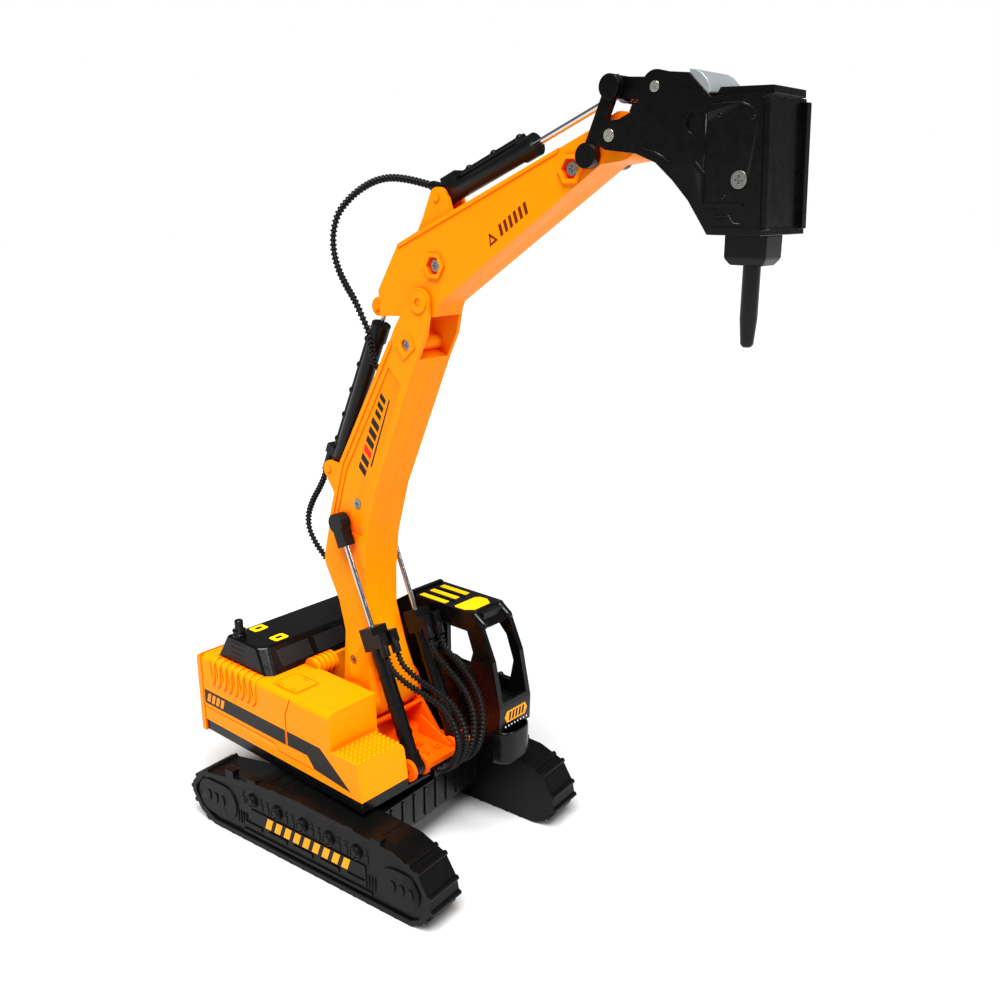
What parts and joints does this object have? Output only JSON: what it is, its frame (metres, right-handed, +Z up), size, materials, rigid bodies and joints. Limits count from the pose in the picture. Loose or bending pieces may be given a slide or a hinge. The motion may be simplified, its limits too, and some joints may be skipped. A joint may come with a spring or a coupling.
{
  "type": "toy excavator",
  "caption": "Toy crawler excavator with a slewing cab and body, a hinged boom and arm with sliding cylinders, and a breaker hammer on a tool linkage.",
  "frame": {"origin": "on the slew axis, at floor level", "axes": "+X the way the boom and cab face, +Y to the cab side, +Z up; the undercarriage is parked 4.85 degrees anticlockwise under the upper structure"},
  "size_m": [0.2484, 0.1114, 0.2989],
  "materials": {
    "orange_abs": "moulded, semi-gloss",
    "black_abs": "moulded, glossy",
    "track_plastic": "moulded, satin",
    "chrome_rod": "plated",
    "screw_steel": "zinc plated",
    "silver_plastic": "painted silver-grey",
    "hose_rubber": "ribbed, satin"
  },
  "bodies": {
    "undercarriage": {"chassis": "black_abs", "track_right": "track_plastic", "track_left": "track_plastic", "roller_panel_right": "track_plastic", "roller_panel_left": "track_plastic", "wheel_pins": "screw_steel", "chassis_screws": "screw_steel"},
    "wheel_front_right": {"wheel_front_right": "track_plastic"},
    "wheel_front_left": {"wheel_front_left": "track_plastic"},
    "wheel_rear_right": {"wheel_rear_right": "track_plastic"},
    "wheel_rear_left": {"wheel_rear_left": "track_plastic"},
    "upper": {"slew_screw": "screw_steel", "turntable_base": "black_abs", "body_shell": "orange_abs", "counterweight": "orange_abs", "engine_cover": "black_abs", "air_cleaner": "black_abs", "boom_seat": "orange_abs", "cab_shell": "black_abs", "cab_seat": "black_abs", "cab_console": "black_abs", "cab_bumper": "black_abs", "boom_pin": "black_abs", "cylinder_foot_pins": "screw_steel", "body_screws": "screw_steel", "hose_manifold": "black_abs", "hose_right_outer": "hose_rubber", "hose_right_inner": "hose_rubber", "hose_left_inner": "hose_rubber", "hose_left_outer": "hose_rubber"},
    "boom": {"boom_right": "orange_abs", "boom_left": "orange_abs", "boom_screws": "screw_steel", "arm_pin": "orange_abs", "hose_arm": "hose_rubber", "hose_tool": "hose_rubber"},
    "boom_barrel_right": {"boom_barrel_right": "black_abs"},
    "boom_rod_right": {"boom_rod_right": "chrome_rod", "rod_cap_right": "black_abs"},
    "boom_barrel_left": {"boom_barrel_left": "black_abs"},
    "boom_rod_left": {"boom_rod_left": "chrome_rod", "rod_cap_left": "black_abs"},
    "arm": {"arm_right": "orange_abs", "arm_left": "orange_abs", "arm_screws": "screw_steel"},
    "arm_barrel": {"arm_barrel": "black_abs"},
    "arm_rod": {"arm_rod": "chrome_rod"},
    "rocker": {"rockers": "black_abs", "rocker_pin": "black_abs"},
    "link": {"link": "black_abs"},
    "breaker": {"breaker_right": "black_abs", "breaker_left": "black_abs", "breaker_top_plate": "silver_plastic", "breaker_screws": "screw_steel", "chisel_holder": "black_abs", "chisel": "black_abs", "link_pin": "chrome_rod", "tool_pin": "chrome_rod"},
    "tool_barrel": {"tool_barrel": "black_abs"},
    "tool_rod": {"tool_rod": "chrome_rod"}
  },
  "joints": [
    {"name": "slew", "type": "hinge", "parent": "undercarriage", "child": "upper", "pos_m": [0, 0, 0.03], "axis": [0, 0, 1], "continuous": true},
    {"name": "roll_front_right", "type": "hinge", "parent": "undercarriage", "child": "wheel_front_right", "pos_m": [0.04332, -0.03747, 0.006], "axis": [-0.0845, 0.9964, 0], "continuous": true},
    {"name": "roll_front_left", "type": "hinge", "parent": "undercarriage", "child": "wheel_front_left", "pos_m": [0.03639, 0.04423, 0.006], "axis": [-0.0845, 0.9964, 0], "continuous": true},
    {"name": "roll_rear_right", "type": "hinge", "parent": "undercarriage", "child": "wheel_rear_right", "pos_m": [-0.03639, -0.04423, 0.006], "axis": [-0.0845, 0.9964, 0], "continuous": true},
    {"name": "roll_rear_left", "type": "hinge", "parent": "undercarriage", "child": "wheel_rear_left", "pos_m": [-0.04332, 0.03747, 0.006], "axis": [-0.0845, 0.9964, 0], "continuous": true},
    {"name": "boom_raise", "type": "hinge", "parent": "upper", "child": "boom", "pos_m": [-0.002, 0.0025, 0.06], "axis": [0, -1, 0], "range_deg": [-39, 6]},
    {"name": "boom_cylinder_right", "type": "hinge", "parent": "upper", "child": "boom_barrel_right", "pos_m": [0.0305, -0.01, 0.04], "axis": [0, -1, 0], "range_deg": [-30.5, 5], "deforming": ["hose_right_outer", "hose_right_inner"]},
    {"name": "boom_rod_right", "type": "slide", "parent": "boom_barrel_right", "child": "boom_rod_right", "axis": [-0.3853, 0, 0.9228], "range_m": [-0.0205, 0.0035]},
    {"name": "boom_cylinder_left", "type": "hinge", "parent": "upper", "child": "boom_barrel_left", "pos_m": [0.0305, 0.015, 0.04], "axis": [0, -1, 0], "range_deg": [-30.5, 5], "deforming": ["hose_left_outer", "hose_left_inner"]},
    {"name": "boom_rod_left", "type": "slide", "parent": "boom_barrel_left", "child": "boom_rod_left", "axis": [-0.3853, 0, 0.9228], "range_m": [-0.0205, 0.0035]},
    {"name": "arm_swing", "type": "hinge", "parent": "boom", "child": "arm", "pos_m": [0.035, 0.0025, 0.2285], "axis": [0, -1, 0], "range_deg": [-45, 0], "deforming": ["hose_tool"]},
    {"name": "arm_cylinder", "type": "hinge", "parent": "boom", "child": "arm_barrel", "pos_m": [-0.0245, 0.0025, 0.1555], "axis": [0, -1, 0], "range_deg": [-0.5, 2.5], "deforming": ["hose_arm"]},
    {"name": "arm_rod", "type": "slide", "parent": "arm_barrel", "child": "arm_rod", "axis": [0.4342, 0, 0.9008], "range_m": [-0.0005, 0.02]},
    {"name": "tool_curl", "type": "hinge", "parent": "arm", "child": "breaker", "pos_m": [0.1187, 0.0025, 0.2818], "axis": [0, -1, 0], "range_deg": [-20, 40]},
    {"name": "rocker_swing", "type": "hinge", "parent": "arm", "child": "rocker", "pos_m": [0.1085, 0.0025, 0.2765], "axis": [0, -1, 0], "range_deg": [-15.5, 30.5]},
    {"name": "link_turn", "type": "hinge", "parent": "rocker", "child": "link", "pos_m": [0.1166, 0.0025, 0.2954], "axis": [0, -1, 0], "range_deg": [-10, 5.2]},
    {"name": "tool_cylinder", "type": "hinge", "parent": "arm", "child": "tool_barrel", "pos_m": [0.041, 0.0025, 0.2645], "axis": [0, -1, 0], "range_deg": [-2.8, 5.2]},
    {"name": "tool_rod", "type": "slide", "parent": "tool_barrel", "child": "tool_rod", "axis": [0.9257, 0, 0.3783], "range_m": [-0.0085, 0.0045]}
  ],
  "couplings": [
    {"joint": "boom_cylinder_right", "follows": "boom_raise", "ratio": 0.739},
    {"joint": "boom_rod_right", "follows": "boom_raise", "m_per_rad": 0.028253},
    {"joint": "boom_cylinder_left", "follows": "boom_raise", "ratio": 0.739},
    {"joint": "boom_rod_left", "follows": "boom_raise", "m_per_rad": 0.028253},
    {"joint": "arm_cylinder", "follows": "arm_swing", "ratio": -0.0494},
    {"joint": "arm_rod", "follows": "arm_swing", "m_per_rad": -0.024832},
    {"joint": "rocker_swing", "follows": "tool_curl", "ratio": 0.7454},
    {"joint": "link_turn", "follows": "tool_curl", "ratio": -0.2364},
    {"joint": "tool_cylinder", "follows": "tool_curl", "ratio": 0.1207},
    {"joint": "tool_rod", "follows": "tool_curl", "m_per_rad": -0.011752}
  ]
}
